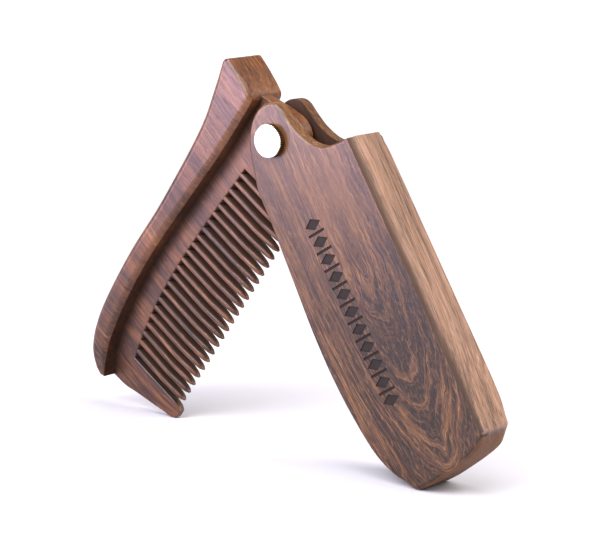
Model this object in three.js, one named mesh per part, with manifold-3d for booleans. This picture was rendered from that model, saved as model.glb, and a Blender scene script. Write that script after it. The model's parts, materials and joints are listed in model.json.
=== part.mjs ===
// Folding wooden beard comb: a slotted wooden case, a one-piece wooden comb that folds into it, and a
// knurled two-part pivot screw with a friction washer on each side of the comb's tang.
// Millimetres, +Z up. The comb stands like an inverted V on the tip of its guard tooth and on the lower
// corner of the case. The broad faces are parallel to the XZ plane and the front faces -Y.
// The origin is on the floor, under the middle of the standing object. The pivot axis runs along Y.
import * as THREE from 'three';
import { mergeVertices } from 'three/addons/utils/BufferGeometryUtils.js';
import Module from 'manifold-3d';

const wasm = await Module();
wasm.setup();

// Driving dimensions
const thickness = 12.5;          // over the broad faces of the case, and of the comb's spine
const slotWidth = 6;             // between the two ears and plates of the case
const bladeThickness = 3.6;      // comb blade, teeth and tang
const legTilt = 33.6;            // lean of the comb one way and of the case the other, at rest
const pivotX = -3.35;            // pivot axis above the floor, from the origin
const pivotZ = 74.83;

// Case, in its own plane: pivot at (0, 0), spine side at +x, far end at -y
const caseSpineX = 21;           // flat spine side
const coveWidth = 1;             // thumb groove along the spine edge of the front face
const coveDepth = 2.2;
const slotFloorX = 15.2;
const shoulderY = -9.3;
const lipY = -82.8;              // where the spine side ends in a crisp lip above the rounded end
const endY = -87.8;
const edgeChamfer = 0.5;

// Comb, in its own plane: pivot at (0, 0), teeth towards +x, far end at -y
const toothTipX = 13.8;
const slotCount = 24;            // sawn gaps between the teeth
const firstGapY = -14.5;
const toothPitch = 2.667;
const gapWidth = 1.2;
const gapRootX = -4.7;           // root of the first gap
const rootSlope = -3.9;          // the line of roots bows towards the spine as a cubic in the share of
const rootBow = -5.9;            // the way along the blade, and comes forward again at the last gap
const rootReturn = 10.9;
const tipTaper = 3.2;            // length of the narrowed tip of a tooth
const tangRadius = 6.2;
const thinStartX = 7;            // from here the teeth are ground thinner towards their tips
const guardTipX = 14.95;
const tipThickness = 1.5;
const foldGap = 0.3;             // between the closed comb's step and the edge of the case

// Pivot screw and washers
const headRadius = 4;
const headProud = 1.7;
const knurlRidges = 48;
const knurlDepth = 0.2;
const barrelRadius = 2.4;
const threadRadius = 1.6;
const headJoin = 0.5;            // how far the barrel and the shank run into their heads
const boreWall = 3;              // solid end of the post, in front of its threaded bore
const shankWall = 4;             // from the front face to the tip of the screw
const coinSlot = 1;              // width of the slot across the screw's head; half of it is its depth
const gap = 0.25;                // clearance between touching pieces
const washerRadius = 4.6;
const washerThickness = 0.7;

const outside = 30;              // how far cutters run past the object
const roundSegments = 20;        // sides to half of a bore

// Points on the line along which the closed comb meets the case
const partingLine = [
  [-10.3, -9], [-10.5, -15.5], [-11.1, -24], [-11.75, -33.5], [-12.4, -43], [-12.6, -52],
  [-12.3, -60], [-11.5, -68], [-10.3, -75], [-8.5, -80], [-5.9, -84.3],
];

const wood = { roughness: 0.5, metalness: 0 };
const caseWood = new THREE.MeshStandardMaterial({ color: 0x6b4a38, ...wood });
const combWood = new THREE.MeshStandardMaterial({ color: 0x75503c, ...wood });
const polishedMetal = new THREE.MeshStandardMaterial({ color: 0xe6e2da, roughness: 0.15, metalness: 1 });
const washerFibre = new THREE.MeshStandardMaterial({ color: 0x2a2420, roughness: 0.6, metalness: 0 });

function points(list) {
  return list.map(([x, y]) => new THREE.Vector2(x, y));
}

function shifted(list, dx) {
  return list.map(([x, y]) => [x + dx, y]);
}

// Extrudes a shape drawn in the broad plane, x across and y up, and stands it in the XZ plane,
// centred on Y = middle.
function plate(shape, depth, middle = 0, chamfer = 0, curveSegments = 3) {
  const geometry = new THREE.ExtrudeGeometry(shape, {
    depth: depth - 2 * chamfer,
    curveSegments,
    bevelEnabled: chamfer > 0,
    bevelThickness: chamfer,
    bevelSize: chamfer,
    bevelOffset: -chamfer,
    bevelSegments: 1,
  });
  geometry.translate(0, 0, chamfer - depth / 2);
  geometry.rotateX(Math.PI / 2);
  geometry.translate(0, middle, 0);
  return solid(geometry);
}

function solid(geometry) {
  geometry.deleteAttribute('normal');
  geometry.deleteAttribute('uv');
  const merged = mergeVertices(geometry, 1e-4);
  return new wasm.Manifold(new wasm.Mesh({
    numProp: 3,
    vertProperties: new Float32Array(merged.attributes.position.array),
    triVerts: new Uint32Array(merged.index.array),
  }));
}

function named(name, body, material) {
  const mesh = body.getMesh();
  const geometry = new THREE.BufferGeometry();
  geometry.setAttribute('position', new THREE.BufferAttribute(mesh.vertProperties, 3));
  geometry.setIndex(new THREE.BufferAttribute(mesh.triVerts, 1));
  geometry.computeVertexNormals();
  const result = new THREE.Mesh(geometry, material);
  result.name = name;
  return result;
}

// Solid of revolution about the pivot axis, from [radius, y] pairs that run once round the section.
function turned(profile, segments = 40) {
  const geometry = new THREE.LatheGeometry(points([...profile, profile[0]]), segments);
  return solid(geometry);
}

function circle(radius) {
  const shape = new THREE.Shape();
  shape.absarc(0, 0, radius, 0, 2 * Math.PI);
  return shape;
}

// Case ---------------------------------------------------------------------------------------------

// Face outline: round ear over the pivot, scooped neck, shoulder, straight spine side, rounded end,
// and the bowed edge that the comb closes against.
function caseOutline() {
  const shape = new THREE.Shape();
  shape.moveTo(caseSpineX, shoulderY);
  shape.splineThru(points([
    [16.2, -8.8], [12.6, -7.8], [9.6, -5.2], [7.5, -1.2], [6.5, 2.6], [5.8, 6], [4.1, 7.9], [1.2, 8.5],
    [-2.2, 7.4], [-5.1, 4.9], [-7.3, 1.5], [-9, -3.8],
    ...shifted(partingLine, foldGap / 2),
    [-3.4, -87.55], [0.2, endY - 0.3], [5, endY + 0.05], [10, endY + 0.6], [14.5, endY + 1.4], [18, endY + 2.6],
    [caseSpineX, lipY],
  ]));
  shape.lineTo(caseSpineX, shoulderY);
  return shape;
}

// Groove with a hollow section, which runs down the spine edge of the front face to the lip.
function thumbGroove() {
  const front = -thickness / 2;
  const section = new THREE.Shape();
  const past = coveWidth / 2;
  section.moveTo(caseSpineX - coveWidth, front - past);
  section.lineTo(caseSpineX - coveWidth, front);
  section.quadraticCurveTo(caseSpineX - coveWidth, front + coveDepth, caseSpineX + past, front + coveDepth);
  section.lineTo(caseSpineX + past, front - past);
  const geometry = new THREE.ExtrudeGeometry(section, { depth: -lipY, bevelEnabled: false, curveSegments: 5 });
  geometry.translate(0, 0, lipY);
  return solid(geometry);
}

// The slot is open along the parting edge and over the neck, and closed at the spine and the far end.
function slotOutline() {
  const shape = new THREE.Shape();
  shape.moveTo(-outside, outside);
  shape.lineTo(slotFloorX, outside);
  shape.lineTo(slotFloorX, -78.6);
  shape.quadraticCurveTo(slotFloorX, -81.2, 13, -81.8);
  shape.splineThru(points([[7, -82.9], [1.6, -84.3], [-5.6, -86.2]]));
  shape.lineTo(-outside, endY - 4.2);
  return shape;
}

function makeCase() {
  const body = plate(caseOutline(), thickness, 0, edgeChamfer)
    .subtract(thumbGroove())
    .subtract(plate(slotOutline(), slotWidth))
    .subtract(plate(circle(barrelRadius + gap), 2 * thickness, 0, 0, roundSegments));
  return named('case', body, caseWood);
}

// Comb ---------------------------------------------------------------------------------------------

// Thick spine with its broad head; its inner edge is the step that closes against the case.
function spineOutline() {
  const shape = new THREE.Shape();
  shape.moveTo(-21.4, 6.7);
  shape.splineThru(points([[-16.9, 5.9], [-12.8, 4.7], [-10.9, 3.7], [-10.4, 1.8], [-10.4, -4]]));
  shape.splineThru(points(shifted(partingLine, -foldGap / 2)));
  shape.lineTo(-7.4, -84.8);
  shape.splineThru(points([
    [-9.4, -84.3], [-12, -83], [-14.3, -80.8], [-16.2, -76.6], [-17.6, -70], [-18.4, -60], [-18.6, -50],
    [-18.2, -38], [-18.4, -27], [-18.8, -17], [-19.6, -9.5], [-21.1, -3], [-22.4, 2.4], [-22.5, 5],
    [-22.1, 6.3],
  ]));
  return shape;
}

function gapRoot(index) {
  const along = index / (slotCount - 1);
  return gapRootX + rootSlope * along + rootBow * along ** 2 + rootReturn * along ** 3;
}

// One gap, from the tip of the tooth above it round its root to the tip of the tooth below it.
function addGap(shape, index) {
  const middle = firstGapY - index * toothPitch;
  const root = gapRoot(index);
  const half = gapWidth / 2;
  const tipHalf = toothPitch / 2 - 0.25;
  shape.lineTo(toothTipX - 0.5, middle + tipHalf);
  shape.lineTo(toothTipX - tipTaper, middle + half);
  shape.lineTo(root + half, middle + half);
  shape.lineTo(root, middle + half / 2);
  shape.lineTo(root, middle - half / 2);
  shape.lineTo(root + half, middle - half);
  shape.lineTo(toothTipX - tipTaper, middle - half);
  shape.lineTo(toothTipX - 0.5, middle - tipHalf);
  shape.lineTo(toothTipX, middle - toothPitch / 2);
}

// Thin blade: tang with a round knuckle on the pivot, teeth, guard tooth and the sloping end.
function bladeOutline() {
  const shape = new THREE.Shape();
  shape.moveTo(-15, 3);
  shape.lineTo(-10.8, 3.9);
  shape.splineThru(points([[-7.6, 4.7], [-4.2, 5.6], [-2.1, 5.83]]));
  shape.absarc(0, 0, tangRadius, THREE.MathUtils.degToRad(110), THREE.MathUtils.degToRad(-12), true);
  shape.splineThru(points([[7, -5.6], [10, -9.2], [13, -11.2], [toothTipX, -12.9]]));
  for (let index = 0; index < slotCount; index += 1) {
    addGap(shape, index);
  }
  shape.lineTo(14.8, -77.4);
  shape.splineThru(points([[guardTipX, -79.4], [14.2, -80.4], [12.4, -80.9]]));
  shape.splineThru(points([[6.6, -82.1], [1.7, -83.4], [-2, -84.5], [-6.6, -84.9]]));
  shape.lineTo(-14.2, -78);
  return shape;
}

// Everything that a blade ground thinner towards the tips leaves.
function bladeSection() {
  const section = new THREE.Shape();
  section.moveTo(-outside, -bladeThickness);
  section.lineTo(thinStartX, -bladeThickness / 2);
  section.lineTo(guardTipX + 0.1, -tipThickness / 2);
  section.lineTo(guardTipX + 0.1, tipThickness / 2);
  section.lineTo(thinStartX, bladeThickness / 2);
  section.lineTo(-outside, bladeThickness);
  const geometry = new THREE.ExtrudeGeometry(section, { depth: 2 * outside - endY, bevelEnabled: false });
  geometry.translate(0, 0, endY - outside);
  return solid(geometry);
}

function makeComb() {
  const blade = plate(bladeOutline(), bladeThickness, 0, 0, 5).intersect(bladeSection());
  const body = plate(spineOutline(), thickness, 0, edgeChamfer)
    .add(blade)
    .subtract(plate(circle(barrelRadius + gap), 2 * thickness, 0, 0, roundSegments));
  return named('comb', body, combWood);
}

// Pivot --------------------------------------------------------------------------------------------

// Straight-knurled round head; side is -1 for the front of the case and +1 for the back.
function knurledHead(side) {
  const shape = new THREE.Shape();
  for (let index = 0; index < 2 * knurlRidges; index += 1) {
    const radius = headRadius - (index % 2) * knurlDepth;
    const angle = (Math.PI * index) / knurlRidges;
    if (index === 0) shape.moveTo(radius, 0);
    else shape.lineTo(radius * Math.cos(angle), radius * Math.sin(angle));
  }
  const middle = side * (thickness / 2 + (headProud + gap) / 2);
  return plate(shape, headProud - gap, middle);
}

function makePost() {
  const front = -thickness / 2 - gap - headJoin;
  const back = thickness / 2 - gap;
  const threadEnd = front + boreWall;
  const barrel = turned([[0, front], [barrelRadius, front], [barrelRadius, back],
    [threadRadius, back], [threadRadius, threadEnd], [0, threadEnd]]);
  return named('pivot_post', knurledHead(-1).add(barrel), polishedMetal);
}

function makeScrew() {
  const shankRadius = threadRadius - gap;
  const front = -thickness / 2 + shankWall;
  const back = thickness / 2 + gap + headJoin;
  const shank = turned([[0, front], [shankRadius, front], [shankRadius, back], [0, back]], 24);
  const slotGeometry = new THREE.BoxGeometry(3 * headRadius, coinSlot, coinSlot);
  slotGeometry.translate(0, thickness / 2 + headProud, 0);
  const body = knurledHead(1).add(shank).subtract(solid(slotGeometry));
  return named('pivot_screw', body, polishedMetal);
}

// side is -1 for the front of the tang and +1 for the back.
function makeWasher(name, side) {
  const middle = side * (bladeThickness + slotWidth) / 4;
  const low = middle - washerThickness / 2;
  const high = middle + washerThickness / 2;
  const bore = barrelRadius + gap;
  const ring = turned([[bore, low], [washerRadius, low], [washerRadius, high], [bore, high]]);
  return named(name, ring, washerFibre);
}

// Assembly -----------------------------------------------------------------------------------------

const caseGroup = new THREE.Group();
caseGroup.rotation.y = -THREE.MathUtils.degToRad(legTilt);
caseGroup.add(makeCase(), makePost(), makeScrew(), makeWasher('front_washer', -1), makeWasher('back_washer', 1));

const combGroup = new THREE.Group();
combGroup.rotation.y = THREE.MathUtils.degToRad(legTilt);
combGroup.add(makeComb());

const beardComb = new THREE.Group();
beardComb.add(caseGroup, combGroup);
caseGroup.position.set(pivotX, 0, pivotZ);
combGroup.position.set(pivotX, 0, pivotZ);

export default beardComb;
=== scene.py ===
import json
import math

import bmesh
import bpy
from mathutils import Matrix, Vector


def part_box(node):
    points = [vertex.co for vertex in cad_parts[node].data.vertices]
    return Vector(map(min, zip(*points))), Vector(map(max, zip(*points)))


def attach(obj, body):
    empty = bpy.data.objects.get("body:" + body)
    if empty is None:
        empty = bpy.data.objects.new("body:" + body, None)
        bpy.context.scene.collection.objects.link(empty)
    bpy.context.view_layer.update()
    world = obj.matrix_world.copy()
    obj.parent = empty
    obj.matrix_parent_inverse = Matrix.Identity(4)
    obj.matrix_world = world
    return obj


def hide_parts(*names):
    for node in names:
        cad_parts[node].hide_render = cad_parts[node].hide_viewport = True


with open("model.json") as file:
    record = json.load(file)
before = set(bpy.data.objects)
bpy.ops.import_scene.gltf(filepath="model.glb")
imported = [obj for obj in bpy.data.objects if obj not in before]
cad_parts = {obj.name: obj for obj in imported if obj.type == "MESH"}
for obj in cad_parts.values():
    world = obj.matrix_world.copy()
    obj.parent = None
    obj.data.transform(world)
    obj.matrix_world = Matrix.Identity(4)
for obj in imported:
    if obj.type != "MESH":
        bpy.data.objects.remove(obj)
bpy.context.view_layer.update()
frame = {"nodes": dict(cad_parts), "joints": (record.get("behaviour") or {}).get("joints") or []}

# Folding beard comb: an oiled sandalwood case and comb on a knurled pivot screw.
# Outlines are in millimetres in each piece's own plane: x across, z along its length, y through its
# thickness, with the pivot at the origin. place() stands a piece at its lean about the pivot.
MM = 0.001
LEAN = math.radians(33.6)
PIVOT = Vector(frame["joints"][0]["pos_m"])
THICKNESS = (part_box("case")[1].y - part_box("case")[0].y) / MM
FRONT = -THICKNESS / 2
BACK = THICKNESS / 2
SLOT_WIDTH = 6.0
BLADE_THICKNESS = 3.6
BORE_RADIUS = 2.65
BARREL_RADIUS = 2.4
FOLD_GAP = 0.3
SPINE_SIDE_X = 21.0
SHOULDER_Z = -9.3
LIP_Z = -82.8
SLOT_FLOOR_X = 15.2
GROOVE_WIDTH = 1.0
GROOVE_DEPTH = 2.2
TOOTH_TIP_X = 13.8
FIRST_GAP_Z = -14.5
TOOTH_PITCH = 2.667
GAP_WIDTH = 1.2
GAPS = 24
ROOT = (-4.7, -3.9, -5.9, 10.9)  # of the gaps: start, slope, bow and return along the blade
HEAD_RADIUS = 4.0
HEAD_GAP = 0.25
HEAD_PROUD = 1.7
OUTSIDE = 30        # the slot's cutter runs out to here
BORE_PAST = 5       # the bore's cutter runs this far past the faces

# the curve along which the closed comb's step meets the case's edge
PARTING_LINE = [
    (-10.3, -9), (-10.5, -15.5), (-11.1, -24), (-11.75, -33.5), (-12.4, -43), (-12.6, -52),
    (-12.3, -60), (-11.5, -68), (-10.3, -75), (-8.5, -80), (-5.9, -84.3),
]


# Helpers ------------------------------------------------------------------------------------------

def linear(colour):
    """sRGB hex to linear red, green, blue and alpha."""
    channels = [int(colour[i:i + 2], 16) / 255 for i in (1, 3, 5)]
    return [c / 12.92 if c <= 0.04045 else ((c + 0.055) / 1.055) ** 2.4 for c in channels] + [1.0]


def add(tree, kind, inputs=None, **settings):
    """Adds a node, with its settings, its input values and its incoming links."""
    node = tree.nodes.new(kind)
    for name, value in settings.items():
        setattr(node, name, value)
    for name, value in (inputs or {}).items():
        if isinstance(value, bpy.types.NodeSocket):
            tree.links.new(value, node.inputs[name])
        else:
            node.inputs[name].default_value = value
    return node


def maths_in(tree):
    """A short way to add maths nodes to this tree."""
    def maths(operation, a, b=0.0, c=0.0, clamp=False):
        node = add(tree, "ShaderNodeMath", {0: a, 1: b, 2: c}, operation=operation, use_clamp=clamp)
        return node.outputs[0]

    return maths


def new_object(name, data):
    obj = bpy.data.objects.new(name, data)
    bpy.context.scene.collection.objects.link(obj)
    return obj


def bridge(bm, rings):
    """Faces between each closed ring and the next; a ring may shrink to one repeated point."""
    for low, high in zip(rings, rings[1:]):
        for i in range(len(low)):
            j = (i + 1) % len(low)
            bm.faces.new(tuple(dict.fromkeys((low[i], low[j], high[j], high[i]))))


def solid(name, bm):
    """A new object from a closed bmesh, with its faces turned outwards."""
    bmesh.ops.recalc_face_normals(bm, faces=bm.faces)
    mesh = bpy.data.meshes.new(name)
    bm.to_mesh(mesh)
    bm.free()
    return new_object(name, mesh)


def settle(obj):
    """Turns the object's modifiers into its plain mesh."""
    depsgraph = bpy.context.evaluated_depsgraph_get()
    mesh = bpy.data.meshes.new_from_object(obj.evaluated_get(depsgraph), depsgraph=depsgraph)
    old = obj.data
    obj.modifiers.clear()
    obj.data = mesh
    mesh.name = obj.name
    bpy.data.meshes.remove(old)


def combine(obj, other, operation):
    """Cuts other out of obj, or joins it on, and removes other."""
    boolean = obj.modifiers.new(operation.lower(), "BOOLEAN")
    boolean.operation = operation
    boolean.solver = "EXACT"
    boolean.object = other
    settle(obj)
    bpy.data.objects.remove(other)


def spline(points, spacing=0.7):
    """Points along the smooth curve that runs through the given ones."""
    result = []
    for i in range(len(points) - 1):
        p0, p1, p2, p3 = (Vector(points[min(max(i + k, 0), len(points) - 1)]) for k in (-1, 0, 1, 2))
        v0 = (p2 - p0) / 2
        v1 = (p3 - p1) / 2
        steps = max(1, round((p2 - p1).length / spacing))
        for step in range(steps):
            t = step / steps
            result.append((2 * p1 - 2 * p2 + v0 + v1) * t ** 3
                          + (3 * p2 - 3 * p1 - 2 * v0 - v1) * t ** 2 + v0 * t + p1)
    return result


def arc(radius, start, end, steps):
    angles = [math.radians(start + (end - start) * i / steps) for i in range(steps + 1)]
    return [Vector((radius * math.cos(a), radius * math.sin(a))) for a in angles]


def shifted(points, dx):
    return [(x + dx, z) for x, z in points]


def inward(outline):
    """For each point of an outline, the direction that moves both of its edges in by one."""
    area = sum(a.x * b.y - b.x * a.y for a, b in zip(outline, outline[1:] + outline[:1]))
    turn = 1 if area > 0 else -1
    result = []
    for i, point in enumerate(outline):
        before = (point - outline[i - 1]).normalized()
        after = (outline[(i + 1) % len(outline)] - point).normalized()
        n0 = Vector((-before.y, before.x)) * turn
        n1 = Vector((-after.y, after.x)) * turn
        middle = (n0 + n1).normalized()
        result.append(middle / max(middle.dot(n0), 0.6))
    return result


def slab(name, outline, front, back, edges, steps=5, blend=0):
    """A closed plate from front to back over an outline, with rounded edges. edges(point, face)
    gives the radius and the turn in degrees of the round: 90 runs into the side, less leaves a
    crisp arris. blend passes of averaging run one size of round gently into the next."""
    directions = inward(outline)
    sizes = {}
    for face in (front, back):
        values = [Vector(edges(point, face)) for point in outline]
        for _ in range(blend):
            following = values[1:] + values[:1]
            values = [(values[i - 1] + value + after) / 3
                      for i, (value, after) in enumerate(zip(values, following))]
        sizes[face] = values
    bm = bmesh.new()
    rings = []
    for side, face in ((1, front), (-1, back)):
        for k in range(steps + 1):
            ring = []
            for point, direction, (radius, turn) in zip(outline, directions, sizes[face]):
                turn = math.radians(turn)
                angle = turn * k / steps
                inset = radius * (math.sin(turn) - math.sin(angle))
                drop = radius * (1 - math.cos(angle))
                at = point + direction * inset
                ring.append(bm.verts.new((at.x, face + side * drop, at.y)))
            rings.append(ring)
    rings = rings[:steps + 1] + rings[steps + 1:][::-1]
    bridge(bm, rings)
    bm.faces.new(rings[0])
    bm.faces.new(rings[-1])
    return solid(name, bm)


SHARP_ANGLE = 0.7   # radians between two faces
FULL_ROUND = 90     # degrees: the round runs into the side


def sharp(point, face):
    return 0.0001, FULL_ROUND


def turned(name, profile, segments=64):
    """A solid of revolution about the pivot axis from (radius, y) pairs, axis to axis."""
    bm = bmesh.new()
    angles = [2 * math.pi * i / segments for i in range(segments)]
    rings = []
    for radius, y in profile:
        if radius == 0:
            rings.append([bm.verts.new((0, y, 0))] * segments)
        else:
            rings.append([bm.verts.new((radius * math.cos(a), y, radius * math.sin(a))) for a in angles])
    bridge(bm, rings)
    return solid(name, bm)


def soften(obj, chosen, width, segments=2):
    """Breaks the sharp edges for which chosen(edge) holds."""
    bm = bmesh.new()
    bm.from_mesh(obj.data)
    bmesh.ops.dissolve_degenerate(bm, dist=0.002, edges=bm.edges)
    picked = [edge for edge in bm.edges
              if len(edge.link_faces) == 2 and edge.calc_face_angle(0) > SHARP_ANGLE and chosen(edge)]
    bmesh.ops.bevel(bm, geom=picked, offset=width, offset_type="OFFSET", segments=segments,
                    profile=0.5, affect="EDGES", clamp_overlap=True)
    bm.to_mesh(obj.data)
    bm.free()


def place(obj, side):
    """Stands a piece at its lean: side is -1 for the case's half and +1 for the comb's."""
    lean = Matrix.Rotation(side * LEAN, 4, "Y")
    obj.data.transform(Matrix.Translation(PIVOT) @ lean @ Matrix.Scale(MM, 4))
    obj.data.update()


def finish_surface(obj, material, angle=32):
    """Smooth over the rounds and flat on the faces, in one material."""
    mesh = obj.data
    mesh.materials.clear()
    mesh.materials.append(material)
    for polygon in mesh.polygons:
        polygon.use_smooth = True
        polygon.material_index = 0
    mesh.set_sharp_from_angle(angle=math.radians(angle))
    weighted = obj.modifiers.new("faces keep their normals", "WEIGHTED_NORMAL")
    weighted.keep_sharp = True
    weighted.weight = 80
    settle(obj)


def new_tree(name, named):
    """A geometry node tree with these named inputs and a material: the tree, the identifiers of
    its inputs for the modifier, and their sockets inside the tree."""
    tree = bpy.data.node_groups.new(name, "GeometryNodeTree")
    identifiers = {}
    for title, kind in (*named, ("Material", "Material")):
        socket = tree.interface.new_socket(title, in_out="INPUT", socket_type="NodeSocket" + kind)
        identifiers[title] = socket.identifier
    tree.interface.new_socket("Geometry", in_out="OUTPUT", socket_type="NodeSocketGeometry")
    return tree, identifiers, add(tree, "NodeGroupInput").outputs


def end_tree(tree, geometry, material):
    """Makes the instances real, gives them their material and hands them out."""
    real = add(tree, "GeometryNodeRealizeInstances", {"Geometry": geometry})
    painted = add(tree, "GeometryNodeSetMaterial", {
        "Geometry": real.outputs["Geometry"], "Material": material})
    add(tree, "NodeGroupOutput", {"Geometry": painted.outputs["Geometry"]})


def grown(name, tree, identifiers, values):
    """The plain mesh that a node tree makes from these values."""
    obj = new_object(name, bpy.data.meshes.new(name))
    modifier = obj.modifiers.new(tree.name, "NODES")
    modifier.node_group = tree
    for key, value in values.items():
        modifier[identifiers[key]] = value
    settle(obj)
    return obj


# Case ---------------------------------------------------------------------------------------------

CASE_TOP = [
    (SPINE_SIDE_X, SHOULDER_Z), (16.2, -8.8), (12.6, -7.8), (9.6, -5.2), (7.5, -1.2), (6.5, 2.6),
    (5.8, 6), (4.1, 7.9), (1.2, 8.5), (-2.2, 7.4), (-5.1, 4.9), (-7.3, 1.5), (-9, -3.8),
]
CASE_END = [
    (-3.4, -87.55), (0.2, -88.1), (5, -87.75), (10, -87.2), (14.5, -86.4), (18, -85.2),
    (SPINE_SIDE_X, LIP_Z),
]
SPINE_SIDE = [
    (SPINE_SIDE_X, LIP_Z), (SPINE_SIDE_X - 0.22, -80.6), (SPINE_SIDE_X - 0.26, -78),
    (SPINE_SIDE_X - 0.12, -74), (SPINE_SIDE_X, -69), (SPINE_SIDE_X, -40), (SPINE_SIDE_X, SHOULDER_Z),
]
SLOT_END = [
    (SLOT_FLOOR_X, -79.6), (14.6, -81), (13, -81.8), (7, -82.9), (1.6, -84.3), (-5.6, -86.2),
]
# the thumb groove's depth at points along the case
GROOVE_DEPTHS = [
    (8, GROOVE_DEPTH), (-55, GROOVE_DEPTH), (-70, GROOVE_DEPTH - 0.3), (LIP_Z + 3, 1.5), (LIP_Z, 1.1),
]
ENGRAVING_DEPTH = 0.18
ENGRAVING_X = 1.0
ENGRAVING_STEP = 4.45
ENGRAVING_MIDDLE_Z = -44.5
ENGRAVING_REACH = (4.0, 27.0)   # across and along from its middle, with a margin


def case_edges(point, face):
    """Soft round the ear and the end, finer along the parting edge and the neck."""
    if face == BACK and point.x > 17:
        if point.y < -80:
            return 3.2, FULL_ROUND
        if point.y > SHOULDER_Z - 2:
            return 1.8, FULL_ROUND
    if point.x > SPINE_SIDE_X - 0.5:
        return 0.3 if face == FRONT else 0.8, FULL_ROUND
    if point.y < -84:
        return 1.3, FULL_ROUND
    if point.y > -6 and point.x < 4:
        return 1.0, FULL_ROUND
    return 0.55, FULL_ROUND


def slot_cutter():
    outline = [Vector((-OUTSIDE, OUTSIDE)), Vector((SLOT_FLOOR_X, OUTSIDE)), Vector((SLOT_FLOOR_X, -78.6))]
    outline += spline(SLOT_END)
    outline += [Vector(SLOT_END[-1]), Vector((-OUTSIDE, -92))]
    return slab("slot", outline, -SLOT_WIDTH / 2, SLOT_WIDTH / 2, sharp, 1)


def groove_cutter():
    """A hollow along the spine edge of the front face; it grows shallower towards the lip."""
    bm = bmesh.new()
    rings = []
    above = FRONT - 1
    beyond = SPINE_SIDE_X + 2
    steps = 8
    for z, depth in GROOVE_DEPTHS:
        section = [(SPINE_SIDE_X - GROOVE_WIDTH, above)]
        for k in range(steps + 1):
            angle = math.radians(90 * k / steps)
            x = SPINE_SIDE_X - 0.05 - (GROOVE_WIDTH - 0.05) * math.cos(angle)
            section.append((x, FRONT + depth * math.sin(angle)))
        section += [(beyond, FRONT + depth), (beyond, above)]
        rings.append([bm.verts.new((x, y, z)) for x, y in section])
    bridge(bm, rings)
    bm.faces.new(rings[0])
    bm.faces.new(rings[-1])
    return solid("groove", bm)


def bore():
    start = FRONT - BORE_PAST
    end = BACK + BORE_PAST
    return turned("bore", [(0, start), (BORE_RADIUS, start), (BORE_RADIUS, end), (0, end)])


def repeat_tree():
    """Copies of one piece at even steps along a line."""
    tree, identifiers, given = new_tree("even_row", (
        ("Piece", "Object"), ("Count", "Int"), ("Start", "Vector"), ("Step", "Vector")))
    line = add(tree, "GeometryNodeMeshLine", {
        "Count": given["Count"], "Start Location": given["Start"], "Offset": given["Step"]})
    piece = add(tree, "GeometryNodeObjectInfo", {"Object": given["Piece"]})
    copies = add(tree, "GeometryNodeInstanceOnPoints", {
        "Points": line.outputs["Mesh"], "Instance": piece.outputs["Geometry"]})
    end_tree(tree, copies.outputs["Instances"], given["Material"])
    return tree, identifiers


def engraving_cutters(material):
    """A plain running band: lozenges with a bar between each pair, shallowly engraved."""
    tree, identifiers = repeat_tree()
    # each shape with its outline, the place of its first copy and the number of copies
    shapes = (
        ("lozenge", ((-2.5, 0), (0, 1.45), (2.5, 0), (0, -1.45)), -22.2, 11),
        ("bar", ((-2.5, 0.32), (2.5, 0.32), (2.5, -0.32), (-2.5, -0.32)), -24.4, 10),
    )
    rows = []
    for name, outline, first, count in shapes:
        points = [Vector(point) for point in outline]
        piece = slab(name, points, FRONT - 0.5, FRONT + ENGRAVING_DEPTH, sharp, 1)
        rows.append(grown(name + "_row", tree, identifiers, {
            "Piece": piece, "Count": count, "Start": (ENGRAVING_X, 0, first),
            "Step": (0, 0, -ENGRAVING_STEP), "Material": material}))
        bpy.data.objects.remove(piece)
    return rows


def slot_arris(edge):
    """The edges where the slot breaks out of the case."""
    on_wall = all(abs(abs(vert.co.y) - SLOT_WIDTH / 2) < 0.01 for vert in edge.verts)
    furthest = max(abs(face.calc_center_median().y) for face in edge.link_faces)
    return on_wall and furthest > SLOT_WIDTH / 2 + 0.02


def groove_arris(edge):
    """The edges that run along the thumb groove."""
    inner = SPINE_SIDE_X - GROOVE_WIDTH - 0.2
    deepest = FRONT + GROOVE_DEPTH + 0.1
    beside = all(vert.co.x > inner and vert.co.y < deepest for vert in edge.verts)
    run = edge.verts[0].co - edge.verts[1].co
    lengthwise = abs(run.z) > 3 * max(abs(run.x), abs(run.y))
    return beside and lengthwise and edge.verts[0].co.z > LIP_Z - 0.5


def make_case(material):
    outline = spline(CASE_TOP + shifted(PARTING_LINE, FOLD_GAP / 2) + CASE_END)
    outline += spline(SPINE_SIDE, 1.4)
    obj = slab("case_body", outline, FRONT, BACK, case_edges, 6, 3)
    combine(obj, groove_cutter(), "DIFFERENCE")
    combine(obj, slot_cutter(), "DIFFERENCE")
    combine(obj, bore(), "DIFFERENCE")
    soften(obj, slot_arris, 0.25)
    soften(obj, groove_arris, 0.22, 3)
    for row in engraving_cutters(material):
        combine(obj, row, "DIFFERENCE")
    return obj


# Comb ---------------------------------------------------------------------------------------------

SPINE_OUTER = [
    (-9.4, -84.3), (-12, -83), (-14.3, -80.8), (-16.2, -76.6), (-17.6, -70), (-18.4, -60),
    (-18.6, -50), (-18.2, -38), (-18.4, -27), (-18.8, -17), (-19.6, -9.5), (-21.1, -3), (-22.4, 2.4),
    (-22.5, 5), (-22.1, 6.3), (-21.4, 6.7),
]
SPINE_HEAD = [(-21.4, 6.7), (-16.9, 5.9), (-12.8, 4.7), (-10.9, 3.7), (-10.4, 1.8), (-10.4, -4)]
GUARD_END = [
    (13.6, -80.6), (12.4, -80.9), (6.6, -82.1), (1.7, -83.4), (-2, -84.5), (-6.6, -84.9),
]
TANG_RADIUS = 6.2
# past this x the blade is ground thinner towards the tips, by this share over this length
THIN_START_X = 7
THIN_LENGTH = 8
THINNED = 0.58
GUARD_CORNER = (14.8, -77.4)
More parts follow.
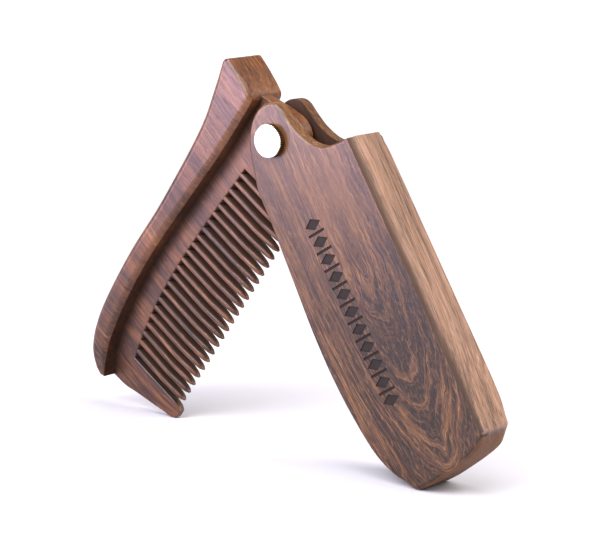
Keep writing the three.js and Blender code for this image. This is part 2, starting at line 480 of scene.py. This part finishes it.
# a tooth's width and thickness, as shares of the full ones, at shares of its length
TOOTH_WIDTHS = ((0, 1), (0.84, 1), (0.91, 0.92), (0.96, 0.74), (0.985, 0.52), (1, 0.26))
TOOTH_THICKNESSES = ((0, 1), (0.6, 1), (0.75, 0.84), (0.9, 0.62), (0.97, 0.42), (1, 0.22))
TOOTH_SQUARENESS = 0.62   # 1 is an ellipse, and less is nearer a box


def gap_root(along):
    """How far across the gaps reach, at a share of the way along the blade."""
    return sum(term * along ** power for power, term in enumerate(ROOT))


def spine_edges(point, face):
    """Fully rounded along the outside, a crisp arris with a camber inside it along the inner edge."""
    to_tip = (point - Vector((-7, -84.6))).length
    to_corner = (point - Vector((-21.9, 6.5))).length
    room = min(0.3 + 0.22 * to_tip, 0.7 + 0.3 * to_corner)
    if point.x < -14.5 and point.y < 4 or point.y < -79 and point.x < -8:
        return min(2.1, room), 88
    return min(2.4, room), 48


def make_spine():
    outline = spline(SPINE_HEAD)
    outline += spline(shifted(PARTING_LINE, -FOLD_GAP / 2))
    outline += [Vector((-6.05, -84.3)), Vector((-7.4, -84.8))]
    outline += spline(SPINE_OUTER)
    return slab("comb_body", outline, FRONT, BACK, spine_edges, 6, 4)


def blade_outline():
    outline = [Vector((-15, 3))]
    outline += spline([(-10.8, 3.9), (-7.6, 4.7), (-4.2, 5.6), (-2.1, 5.83)])
    outline += arc(TANG_RADIUS, 110, -12, 30)
    outline += spline([(6.06, -1.29), (7, -5.6), (10, -9.2), (13, -11.2), (TOOTH_TIP_X, -12.9)])[1:]
    first = FIRST_GAP_Z + GAP_WIDTH / 2
    last = FIRST_GAP_Z - (GAPS - 1) * TOOTH_PITCH - GAP_WIDTH / 2
    outline += [Vector(at) for at in (
        (TOOTH_TIP_X, -12.9), (13.3, first + 0.15), (11, first), (gap_root(0), first))]
    steps = 46
    for i in range(1, steps):
        along = i / steps
        outline.append(Vector((gap_root(along), first + (last - first) * along)))
    outline += [Vector(at) for at in ((gap_root(1), last), (11, last), (13.6, last - 0.3), GUARD_CORNER)]
    outline += spline([GUARD_CORNER, (14.85, -79.3), (14.3, -80.2), GUARD_END[0]], 0.4)[1:]
    outline += spline(GUARD_END)
    outline += [Vector(GUARD_END[-1]), Vector((-14.2, -78))]
    return outline


def make_blade():
    half = BLADE_THICKNESS / 2
    obj = slab("blade", blade_outline(), -half, half, lambda point, face: (0.35, FULL_ROUND), 3)
    for vertex in obj.data.vertices:
        past = max(0.0, vertex.co.x - THIN_START_X) / THIN_LENGTH
        vertex.co.y *= 1 - THINNED * past
    return obj


def tooth_tree():
    """Teeth in a row: each is one tapered tooth, stretched from the line of roots to the tips."""
    tree, identifiers, given = new_tree("row_of_teeth", (
        ("Teeth", "Int"), ("First", "Float"), ("Pitch", "Float"), ("Tip", "Float"), ("Overlap", "Float"),
        ("Width", "Float"), ("Thickness", "Float"), ("Root start", "Float"), ("Root slope", "Float"),
        ("Root bow", "Float"), ("Root return", "Float")))
    maths = maths_in(tree)

    # one tooth, from 0 at its root to 1 at its tip
    rod = add(tree, "GeometryNodeMeshCylinder", {
        "Vertices": 20, "Side Segments": 24, "Radius": 1.0, "Depth": 1.0})
    position = add(tree, "GeometryNodeInputPosition")
    xyz = add(tree, "ShaderNodeSeparateXYZ", {0: position.outputs[0]}).outputs
    along = maths("ADD", xyz[2], 0.5)
    sizes = []
    for size, shape, place_on in (
            (given["Width"], TOOTH_WIDTHS, xyz[0]), (given["Thickness"], TOOTH_THICKNESSES, xyz[1])):
        curve = add(tree, "ShaderNodeFloatCurve", {"Value": along})
        points = curve.mapping.curves[0].points
        while len(points) < len(shape):
            points.new(0.5, 0.5)
        for point, at in zip(points, shape):
            point.location = at
        curve.mapping.update()
        squared = maths("POWER", maths("ABSOLUTE", place_on), TOOTH_SQUARENESS)
        signed = maths("MULTIPLY", squared, maths("SIGN", place_on))
        half = maths("MULTIPLY", maths("MULTIPLY", size, 0.5), curve.outputs[0])
        sizes.append(maths("MULTIPLY", signed, half))
    across, through = sizes
    shaped = add(tree, "ShaderNodeCombineXYZ", {
        0: along, 1: through, 2: maths("MULTIPLY", across, -1.0)})
    tooth = add(tree, "GeometryNodeSetPosition", {
        "Geometry": rod.outputs["Mesh"], "Position": shaped.outputs[0]})

    # their roots, on a cubic in the share of the way along the row
    step = add(tree, "ShaderNodeCombineXYZ", {2: maths("MULTIPLY", given["Pitch"], -1.0)})
    start = add(tree, "ShaderNodeCombineXYZ", {2: given["First"]})
    line = add(tree, "GeometryNodeMeshLine", {
        "Count": given["Teeth"], "Start Location": start.outputs[0], "Offset": step.outputs[0]})
    index = add(tree, "GeometryNodeInputIndex").outputs[0]
    share = maths("DIVIDE", maths("ADD", index, 0.5), given["Teeth"])
    root = given["Root start"]
    for power, term in enumerate(("Root slope", "Root bow", "Root return"), 1):
        root = maths("ADD", root, maths("MULTIPLY", given[term], maths("POWER", share, float(power))))
    root = maths("SUBTRACT", root, given["Overlap"])
    moved = add(tree, "GeometryNodeSetPosition", {
        "Geometry": line.outputs["Mesh"],
        "Offset": add(tree, "ShaderNodeCombineXYZ", {0: root}).outputs[0]})
    stretch = add(tree, "ShaderNodeCombineXYZ", {0: maths("SUBTRACT", given["Tip"], root), 1: 1.0, 2: 1.0})
    copies = add(tree, "GeometryNodeInstanceOnPoints", {
        "Points": moved.outputs["Geometry"], "Instance": tooth.outputs["Geometry"],
        "Scale": stretch.outputs[0]})
    end_tree(tree, copies.outputs["Instances"], given["Material"])
    return tree, identifiers


def make_comb(material):
    obj = make_spine()
    blade = make_blade()
    tree, identifiers = tooth_tree()
    teeth = grown("teeth", tree, identifiers, {
        "Teeth": GAPS - 1, "First": FIRST_GAP_Z - TOOTH_PITCH / 2, "Pitch": TOOTH_PITCH,
        "Tip": TOOTH_TIP_X, "Overlap": 1.5, "Width": TOOTH_PITCH - GAP_WIDTH,
        "Thickness": BLADE_THICKNESS - 0.06, "Root start": ROOT[0], "Root slope": ROOT[1],
        "Root bow": ROOT[2], "Root return": ROOT[3], "Material": material})
    combine(blade, teeth, "UNION")
    combine(obj, blade, "UNION")
    combine(obj, bore(), "DIFFERENCE")
    return obj


# Pivot --------------------------------------------------------------------------------------------

THREAD_RADIUS = 1.6
SHANK_RADIUS = 1.35
HEAD_JOIN = 0.5     # how far the barrel and the shank run into their heads
BORE_WALL = 3       # solid end of the post, in front of its threaded bore
TIP_DEPTH = 4       # from the front face to the tip of the screw
KNURL_RIDGES = 48
KNURL_DEPTH = 0.24
HEAD_EDGE = 0.15
COIN_SLOT = 1       # width of the slot across the screw's head; half of it is its depth


def knurl_tree():
    """A round head with straight ridges round its rim and softened edges."""
    tree, identifiers, given = new_tree("knurled_head", (
        ("Ridges", "Int"), ("Radius", "Float"), ("Height", "Float"), ("Knurl depth", "Float"),
        ("Edge", "Float")))
    maths = maths_in(tree)
    blank = add(tree, "GeometryNodeMeshCylinder", {
        "Vertices": maths("MULTIPLY", given["Ridges"], 6.0), "Side Segments": 12,
        "Radius": 1.0, "Depth": 1.0})
    position = add(tree, "GeometryNodeInputPosition")
    xyz = add(tree, "ShaderNodeSeparateXYZ", {0: position.outputs[0]}).outputs
    angle = maths("ARCTAN2", xyz[1], xyz[0])
    wave = maths("COSINE", maths("MULTIPLY", angle, given["Ridges"]))
    groove = maths("MULTIPLY", maths("MULTIPLY_ADD", wave, 0.5, 0.5), given["Knurl depth"])
    # the last part of the height, at each end, rolls over by the size of the edge
    height = maths("MULTIPLY", xyz[2], given["Height"])
    straight = maths("SUBTRACT", maths("MULTIPLY", given["Height"], 0.5), given["Edge"])
    past = maths("MAXIMUM", maths("SUBTRACT", maths("ABSOLUTE", height), straight), 0.0)
    share = maths("DIVIDE", past, given["Edge"])
    squared = maths("MULTIPLY", maths("MULTIPLY", share, share), 0.999)
    drop = maths("SUBTRACT", 1.0, maths("SQRT", maths("SUBTRACT", 1.0, squared)))
    inset = maths("MULTIPLY_ADD", drop, given["Edge"], groove)
    radius = maths("SUBTRACT", given["Radius"], inset)
    where = add(tree, "ShaderNodeCombineXYZ", {
        0: maths("MULTIPLY", xyz[0], radius), 1: height,
        2: maths("MULTIPLY", xyz[1], maths("MULTIPLY", radius, -1.0))})
    head = add(tree, "GeometryNodeSetPosition", {
        "Geometry": blank.outputs["Mesh"], "Position": where.outputs[0]})
    end_tree(tree, head.outputs["Geometry"], given["Material"])
    return tree, identifiers


def make_pivot(material):
    tree, identifiers = knurl_tree()
    height = HEAD_PROUD - HEAD_GAP
    pieces = []
    for name, side in (("pivot_post_knurled", -1), ("pivot_screw_knurled", 1)):
        head = grown(name, tree, identifiers, {
            "Ridges": KNURL_RIDGES, "Radius": HEAD_RADIUS, "Height": height,
            "Knurl depth": KNURL_DEPTH, "Edge": HEAD_EDGE, "Material": material})
        head.data.transform(Matrix.Translation((0, side * (BACK + HEAD_GAP + height / 2), 0)))
        pieces.append(head)
    post, screw = pieces
    # the post's barrel, hollow from the back, and the screw's shank inside it
    start = FRONT - HEAD_GAP - HEAD_JOIN
    end = BACK - HEAD_GAP
    barrel = turned("barrel", [
        (0, start), (BARREL_RADIUS, start), (BARREL_RADIUS, end - 0.3), (BARREL_RADIUS - 0.3, end),
        (THREAD_RADIUS, end), (THREAD_RADIUS, start + BORE_WALL), (0, start + BORE_WALL)])
    combine(post, barrel, "UNION")
    tip = FRONT + TIP_DEPTH
    foot = BACK + HEAD_GAP + HEAD_JOIN
    shank = turned("shank", [
        (0, tip), (SHANK_RADIUS - 0.35, tip), (SHANK_RADIUS, tip + 0.35), (SHANK_RADIUS, foot), (0, foot)])
    combine(screw, shank, "UNION")
    half = COIN_SLOT / 2
    outline = [Vector(p) for p in ((-6, -half), (6, -half), (6, half), (-6, half))]
    coin_slot = slab("coin_slot", outline, BACK + HEAD_PROUD - half, BACK + HEAD_PROUD + 1, sharp, 1)
    combine(screw, coin_slot, "DIFFERENCE")
    return post, screw


# Materials ----------------------------------------------------------------------------------------

def plane_coordinates(tree, side):
    """The wood's own millimetres: across, through and along the leaning piece, from the pivot."""
    coordinates = add(tree, "ShaderNodeTexCoord")
    mapping = add(tree, "ShaderNodeMapping", {
        "Vector": coordinates.outputs["Object"], "Location": PIVOT,
        "Rotation": (0, side * LEAN, 0), "Scale": (MM, MM, MM)}, vector_type="TEXTURE")
    return mapping.outputs[0]


def new_material(name):
    material = bpy.data.materials.new(name)
    material.use_nodes = True
    tree = material.node_tree
    tree.nodes.clear()
    return material, tree


def ramp(tree, value, stops):
    node = add(tree, "ShaderNodeValToRGB", {"Fac": value})
    elements = node.color_ramp.elements
    while len(elements) < len(stops):
        elements.new(0.5)
    for element, (position, colour) in zip(elements, stops):
        element.position = position
        element.color = linear(colour)
    return node.outputs["Color"]


def mixed(tree, share, first, second):
    """The first colour with a share of the second mixed in; the second may be in hex."""
    if isinstance(second, str):
        second = linear(second)
    node = add(tree, "ShaderNodeMix", {"Factor": share, 6: first, 7: second}, data_type="RGBA")
    return node.outputs[2]


def graded(tree, value, start, end, low, high, kind="LINEAR"):
    """Runs from low to high while the value runs from start to end."""
    node = add(tree, "ShaderNodeMapRange", {
        "Value": value, "From Min": start, "From Max": end, "To Min": low, "To Max": high},
        interpolation_type=kind)
    return node.outputs[0]


def finish_material(tree, **values):
    shader = add(tree, "ShaderNodeBsdfPrincipled", {
        name.replace("_", " "): value for name, value in values.items()})
    add(tree, "ShaderNodeOutputMaterial", {"Surface": shader.outputs[0]})


# Wood noise is in cycles in a millimetre: across, through and along the growth layers. Growth
# lines run about 1.2 mm apart, and the fibre between them 0.2 mm.
BROAD_BANDS = (0.16, 0.1, 0.012)
GROWTH_LINES = (1.6, 0.5, 0.03)
FIBRES = (4.6, 1.8, 0.15)
RIPPLE = (0.4, 0.4, 0.25)
MIDDLE_TONE = 0.49
# the painted shade in the thumb groove ends and the pale outer wood, with its painted ridge highlight,
# begins here
RIDGE_X = 20.1
# the slot's sloping end, as the z it has at x = 0 and its rise with x
SLOT_END_Z = -85.15
SLOT_END_SLOPE = 0.257


def case_marks(tree, place, colour, rough, shade):
    """What only the case has: the engraving's scorched floor, painted shade in the thumb groove, the end
    grain and painted shade on the walls of the slot. Gives back the colour, the roughness and the shade."""
    maths = maths_in(tree)
    x, y, z = place

    def every(*tests):
        product = tests[0]
        for test in tests[1:]:
            product = maths("MULTIPLY", product, test)
        return product

    # the engraving is burnt, so its floor is nearly black and matt
    below = maths("SUBTRACT", y, FRONT)
    scorched = every(
        maths("MULTIPLY", maths("SUBTRACT", below, 0.03), 30.0, clamp=True),
        maths("LESS_THAN", below, ENGRAVING_DEPTH + 0.1),
        maths("LESS_THAN", maths("ABSOLUTE", maths("SUBTRACT", x, ENGRAVING_X)), ENGRAVING_REACH[0]),
        maths("LESS_THAN", maths("ABSOLUTE", maths("SUBTRACT", z, ENGRAVING_MIDDLE_Z)), ENGRAVING_REACH[1]))
    colour = mixed(tree, maths("MULTIPLY", scorched, 0.95), colour, "#120a08")
    rough = maths("ADD", rough, maths("MULTIPLY", scorched, 0.6))
    # painted shade in the hollow of the thumb groove, fading out towards its ridge
    hollow = every(
        maths("GREATER_THAN", x, SPINE_SIDE_X - GROOVE_WIDTH - 0.1),
        maths("GREATER_THAN", y, FRONT + 0.1),
        maths("LESS_THAN", y, FRONT + GROOVE_DEPTH + 0.1),
        graded(tree, x, RIDGE_X, RIDGE_X + 0.65, 1.0, 0.0))
    shade = maths("MULTIPLY", shade, maths("MULTIPLY_ADD", hollow, -0.7, 1.0))
    colour = mixed(tree, maths("MULTIPLY", hollow, 0.85), colour, "#2e1407")
    rough = maths("ADD", rough, maths("MULTIPLY", hollow, 0.5))
    # the end grain drinks the oil and stays matt
    end_grain = every(
        graded(tree, z, LIP_Z, LIP_Z - 2, 0.0, 0.45), maths("GREATER_THAN", y, FRONT + 0.3))
    rough = maths("ADD", rough, end_grain)
    colour = mixed(tree, end_grain, colour, "#7a4a26")
    # painted shade on the walls of the slot, deep inside it
    slot_end = maths("MULTIPLY_ADD", x, SLOT_END_SLOPE, SLOT_END_Z)
    slot_wall_shade = every(
        maths("LESS_THAN", maths("ABSOLUTE", y), SLOT_WIDTH / 2 + 0.02),
        maths("LESS_THAN", x, SLOT_FLOOR_X + 0.05),
        maths("GREATER_THAN", z, slot_end))
    shade = maths("MAXIMUM", shade, maths("MULTIPLY", slot_wall_shade, 0.9))
    return colour, rough, shade


def sandalwood(name, side, figure):
    """Oiled and hand-rubbed sandalwood: brown heartwood with fine darker growth lines that follow
    the figure, short dark pores, paler flecks where the grain is interlocked, and a soft gloss."""
    material, tree = new_material(name)
    maths = maths_in(tree)

    def noise(vector, cycles, detail=2.0, roughness=0.5):
        scaled = add(tree, "ShaderNodeVectorMath", {0: vector, 1: cycles}, operation="MULTIPLY")
        node = add(tree, "ShaderNodeTexNoise", {
            "Vector": scaled.outputs[0], "Scale": 1.0, "Detail": detail, "Roughness": roughness})
        return node.outputs["Fac"]

    def peaks(value, above, steepness):
        return maths("MULTIPLY", maths("SUBTRACT", value, above), steepness, clamp=True)

    place_mm = plane_coordinates(tree, side)
    x, y, z = add(tree, "ShaderNodeSeparateXYZ", {0: place_mm}).outputs
    # the figure is of arched growth layers about a heart, and they wander a few millimetres
    wander = maths("SUBTRACT", noise(place_mm, figure["wander"], 3.0), 0.5)
    wander = maths("MULTIPLY", wander, figure["sway"])
    heart_x, heart_z = figure["centre"]
    dx = maths("SUBTRACT", x, heart_x)
    dz = maths("MINIMUM", maths("SUBTRACT", z, heart_z), figure["open"])
    dz = maths("MULTIPLY", dz, figure["flatten"])
    ring = maths("SQRT", maths("ADD", maths("MULTIPLY", dx, dx), maths("MULTIPLY", dz, dz)))
    ring = maths("ADD", maths("ADD", ring, wander), maths("MULTIPLY", y, figure["depth"]))
    # the ripple is strongest in the heart of the figure
    heart = maths("SUBTRACT", 1.0, maths("DIVIDE", ring, figure["heart"]), clamp=True)
    ripple = maths("SUBTRACT", noise(place_mm, RIPPLE), 0.5)
    ripple = maths("MULTIPLY", ripple, maths("MULTIPLY_ADD", heart, figure["ripple"], 0.12))
    ring = maths("ADD", ring, ripple)
    along = z if figure["grain"] == "z" else x
    layers = add(tree, "ShaderNodeCombineXYZ", {0: ring, 1: y, 2: along}).outputs[0]
    broad = noise(layers, BROAD_BANDS)
    lines = noise(layers, GROWTH_LINES, 2.0, 0.6)
    fine = noise(layers, FIBRES, 2.0, 0.6)
    tone = maths("ADD", maths("MULTIPLY", lines, 0.3), maths("MULTIPLY", fine, 0.4))
    tone = maths("ADD", maths("MULTIPLY", broad, 0.3), tone)
    # painted shade: darker and more strongly marked towards the far end of the piece, where less light
    # falls, and plainer near the pivot, where the sheen veils the figure
    top, bottom, depth, plain = figure["dusk"]
    dusk = graded(tree, z, top, bottom, 0.0, 1.0, "SMOOTHSTEP")
    marked = maths("SUBTRACT", tone, MIDDLE_TONE)
    marked = maths("MULTIPLY", marked, maths("MULTIPLY_ADD", dusk, 1 - plain, plain))
    marked = maths("ADD", marked, maths("MULTIPLY_ADD", dusk, -depth, MIDDLE_TONE))
    colour = ramp(tree, marked, figure["tones"])
    if "pale_side" in figure:
        # paler, straight-grained outer wood on the spine side; where it grades in across the thumb groove
        # it is a painted highlight along the ridge
        pale = graded(tree, x, RIDGE_X, RIDGE_X + 0.7, 0.0, 0.75, "SMOOTHSTEP")
        colour = mixed(tree, pale, colour, ramp(tree, tone, figure["pale_side"]))
    # pores are dark dashes 0.25 mm wide and a few long, drawn wider than life so that they show
    pores = peaks(noise(place_mm, figure["pores"], 1.0), 0.6, 9.0)
    flecks = peaks(noise(place_mm, figure["fleck_shape"]), 0.55, 5.0)
    colour = mixed(tree, maths("MULTIPLY", flecks, figure["flecks"]), colour, figure["fleck_colour"])
    colour = mixed(tree, maths("MULTIPLY", pores, 0.55), colour, "#2a1710")
    rough = maths("ADD", maths("MULTIPLY", pores, 0.15), figure["roughness"])
    rough = maths("ADD", maths("MULTIPLY", tone, -0.12), rough)
    # painted shade: the inner corners darken over about 4 mm, by the occlusion of the piece's own shape
    corner = add(tree, "ShaderNodeAmbientOcclusion", {"Distance": 4 * MM}, samples=8, only_local=True)
    shade = maths("SUBTRACT", 1.0, maths("POWER", corner.outputs["AO"], figure["corners"]))
    if figure["is_case"]:
        colour, rough, shade = case_marks(tree, (x, y, z), colour, rough, shade)
    # the painted shade darkens the colour and takes the gloss off
    colour = mixed(tree, maths("MULTIPLY", shade, 0.9), colour, "#2a1207")
    rough = maths("ADD", rough, maths("MULTIPLY", shade, 0.45))
    height = maths("SUBTRACT", maths("MULTIPLY", fine, 0.4), pores)
    bump = add(tree, "ShaderNodeBump", {"Height": height, "Strength": 0.25, "Distance": 0.04 * MM})
    finish_material(tree, Base_Color=colour, Roughness=rough, Normal=bump.outputs[0], IOR=1.44)
    return material


def polished_steel():
    """Stainless steel, turned and polished: a near mirror with faint concentric tool marks."""
    material, tree = new_material("stainless_steel_turned_polished")
    maths = maths_in(tree)
    coordinates = add(tree, "ShaderNodeTexCoord")
    centred = add(tree, "ShaderNodeMapping", {
        "Vector": coordinates.outputs["Object"], "Location": PIVOT, "Scale": (MM, MM, MM)},
        vector_type="TEXTURE").outputs[0]
    x, y, z = add(tree, "ShaderNodeSeparateXYZ", {0: centred}).outputs
    flat = add(tree, "ShaderNodeCombineXYZ", {0: x, 2: z})
    length = add(tree, "ShaderNodeVectorMath", {0: flat.outputs[0]}, operation="LENGTH")
    radius = length.outputs["Value"]
    # tool marks are 0.05 mm apart on the real head; 0.2 mm here, so that they show
    marks = maths("SINE", maths("MULTIPLY", radius, 2 * math.pi / 0.2))
    grime = add(tree, "ShaderNodeTexNoise", {
        "Vector": centred, "Scale": 1.2, "Detail": 3.0}).outputs["Fac"]
    rough = maths("MULTIPLY_ADD", grime, 0.12, 0.1)
    colour = ramp(tree, grime, ((0.3, "#e9e4db"), (0.7, "#f6f3ee")))
    # painted reflection: the knurled rim takes the brown of the wood it reflects, with painted shade
    # darkest at the bottoms of the knurl
    rim = maths("LESS_THAN", maths("ABSOLUTE", y), BACK + HEAD_PROUD - 0.2)
    low = graded(tree, radius, HEAD_RADIUS - 0.14, HEAD_RADIUS - 0.05, 1.0, 0.0)
    colour = mixed(tree, rim, colour, mixed(tree, low, linear("#a07f52"), "#0f0804"))
    rough = maths("ADD", rough, maths("MULTIPLY", rim, 0.2))
    bump = add(tree, "ShaderNodeBump", {"Height": marks, "Strength": 0.04, "Distance": 0.01 * MM})
    finish_material(tree, Base_Color=colour, Metallic=1.0, Roughness=rough, Normal=bump.outputs[0])
    return material


def pressed_fibre():
    """Vulcanised fibre, punched from sheet: dense, dark and matt, with a faint felted grain."""
    material, tree = new_material("vulcanised_fibre_punched")
    coordinates = add(tree, "ShaderNodeTexCoord")
    felt = add(tree, "ShaderNodeTexNoise", {
        "Vector": coordinates.outputs["Object"], "Scale": 1 / (0.4 * MM), "Detail": 3.0}).outputs["Fac"]
    colour = ramp(tree, felt, ((0.3, "#1d1714"), (0.7, "#372c26")))
    bump = add(tree, "ShaderNodeBump", {"Height": felt, "Strength": 0.3, "Distance": 0.03 * MM})
    finish_material(tree, Base_Color=colour, Roughness=0.75, Normal=bump.outputs[0])
    return material


# centre, open and flatten place and shape the arches; wander and sway bend them; dusk is where the
# painted shade towards the far end starts and ends, its depth, and how plain the wood is before it;
# corners shapes the painted shade in the inner corners
CASE_FIGURE = {
    "is_case": True, "grain": "z", "centre": (9.0, -36.0), "open": 0.0, "flatten": 0.26,
    "wander": (0.09, 0.09, 0.022), "sway": 4.0, "depth": 0.75, "heart": 13.0, "ripple": 2.0,
    "pores": (3.4, 3.4, 0.28), "fleck_shape": (2.3, 2.3, 0.55), "flecks": 0.3,
    "fleck_colour": "#8a6346", "roughness": 0.31, "corners": 1.3,
    "dusk": (-14.0, -56.0, 0.05, 0.5),
    "tones": ((0.4, "#1b0e07"), (0.455, "#382113"), (0.51, "#543720"), (0.58, "#7f5735")),
    "pale_side": ((0.4, "#4e3a2f"), (0.46, "#715647"), (0.53, "#856654"), (0.6, "#98796a")),
}
COMB_FIGURE = {
    "is_case": False, "grain": "x", "centre": (10.0, 150.0), "open": 1000.0, "flatten": 1.0,
    "wander": (0.03, 0.06, 0.06), "sway": 4.0, "depth": 0.2, "heart": 1.0, "ripple": 0.5,
    "pores": (0.28, 3.4, 3.4), "fleck_shape": (0.4, 2.0, 2.0), "flecks": 0.25,
    "fleck_colour": "#85593f", "roughness": 0.34, "corners": 2.8,
    "dusk": (-5.0, -60.0, 0.05, 0.7),
    "tones": ((0.38, "#221109"), (0.46, "#462713"), (0.52, "#5e381f"), (0.61, "#80532d")),
}


# Assembly -----------------------------------------------------------------------------------------

case_wood = sandalwood("sandalwood_oiled_case", -1, CASE_FIGURE)
comb_wood = sandalwood("sandalwood_oiled_comb", 1, COMB_FIGURE)
steel = polished_steel()
fibre = pressed_fibre()

case_body = make_case(case_wood)
place(case_body, -1)
finish_surface(case_body, case_wood)
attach(case_body, "case")
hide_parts("case")

comb_body = make_comb(comb_wood)
place(comb_body, 1)
finish_surface(comb_body, comb_wood)
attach(comb_body, "comb")
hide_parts("comb")

post, screw = make_pivot(steel)
for piece, node in ((post, "pivot_post"), (screw, "pivot_screw")):
    place(piece, -1)
    finish_surface(piece, steel, 40)
    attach(piece, "case")
    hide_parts(node)

for node in ("front_washer", "back_washer"):
    washer = frame["nodes"][node]
    washer.data.materials.clear()
    washer.data.materials.append(fibre)


# Floor, light and camera --------------------------------------------------------------------------

def floor_paper():
    """Matt white background paper that glows further out, a painted light that keeps it evenly bright as a
    lit studio sweep is, and brightens what the wood reflects of it.
    """
    material, tree = new_material("studio_paper_matt")
    coordinates = add(tree, "ShaderNodeTexCoord")
    away = add(tree, "ShaderNodeVectorMath", {0: coordinates.outputs["Object"]}, operation="LENGTH")
    glow = graded(tree, away.outputs["Value"], 0.2, 0.9, 0.0, 1.0, "SMOOTHSTEP")
    finish_material(tree, Base_Color=linear("#b4b3b9"), Roughness=0.9,
                    Emission_Color=linear("#fdfcff"), Emission_Strength=glow)
    return material


def make_floor():
    bm = bmesh.new()
    half = 4.0
    corners = ((-half, -half), (half, -half), (half, half), (-half, half))
    bm.faces.new([bm.verts.new((x, y, 0)) for x, y in corners])
    mesh = bpy.data.meshes.new("floor")
    bm.to_mesh(mesh)
    bm.free()
    floor = new_object("floor", mesh)
    mesh.materials.append(floor_paper())


def softbox(name, place_m, target, size, power, colour):
    light = bpy.data.lights.new(name, "AREA")
    light.shape = "RECTANGLE"
    light.size, light.size_y = size
    light.energy = power
    light.color = linear(colour)[:3]
    obj = new_object(name, light)
    obj.location = place_m
    obj.visible_camera = False
    direction = Vector(target) - Vector(place_m)
    obj.rotation_euler = direction.to_track_quat("-Z", "Y").to_euler()


def make_camera():
    """A long lens, from the front and to the right, a little above."""
    azimuth, elevation, roll = (math.radians(a) for a in (38.288, 12.563, 2.184))
    distance = 0.5829
    target = Vector((0.00172, 0, 0.04146))
    level = Vector((math.cos(azimuth), math.sin(azimuth), 0))
    back = Vector((math.sin(azimuth) * math.cos(elevation), -math.cos(azimuth) * math.cos(elevation),
                   math.sin(elevation)))
    over = back.cross(level)
    right = math.cos(roll) * level + math.sin(roll) * over
    up = math.cos(roll) * over - math.sin(roll) * level
    data = bpy.data.cameras.new("camera")
    data.sensor_fit = "HORIZONTAL"
    data.sensor_width = 36
    data.lens = 147.93
    data.clip_start = 0.01
    camera = new_object("camera", data)
    turn = Matrix((right, up, back)).transposed().to_4x4()
    camera.matrix_world = Matrix.Translation(target + back * distance) @ turn
    bpy.context.scene.camera = camera


make_floor()
make_camera()
world = bpy.data.worlds.new("studio")
world.use_nodes = True
background = world.node_tree.nodes["Background"].inputs
background["Color"].default_value = linear("#fbfbfd")
background["Strength"].default_value = 0.35
bpy.context.scene.world = world
bpy.context.scene.view_settings.view_transform = "Standard"
# each with its place, target, size, power in watts and colour
softbox("low_softbox", (-0.26, -0.33, 0.1), (0, 0, 0.07), (0.4, 0.17), 2.4, "#dad1ff")
softbox("key_softbox", (-0.08, -0.6, 0.5), (0, 0, 0.05), (0.5, 0.5), 8.8, "#fffcf8")
softbox("top_softbox", (0.1, -0.2, 0.85), (0, 0, 0), (0.8, 0.8), 10, "#ffffff")
softbox("side_softbox", (0.45, 0.25, 0.5), (0, 0, 0.05), (0.4, 0.4), 7, "#fffaf4")
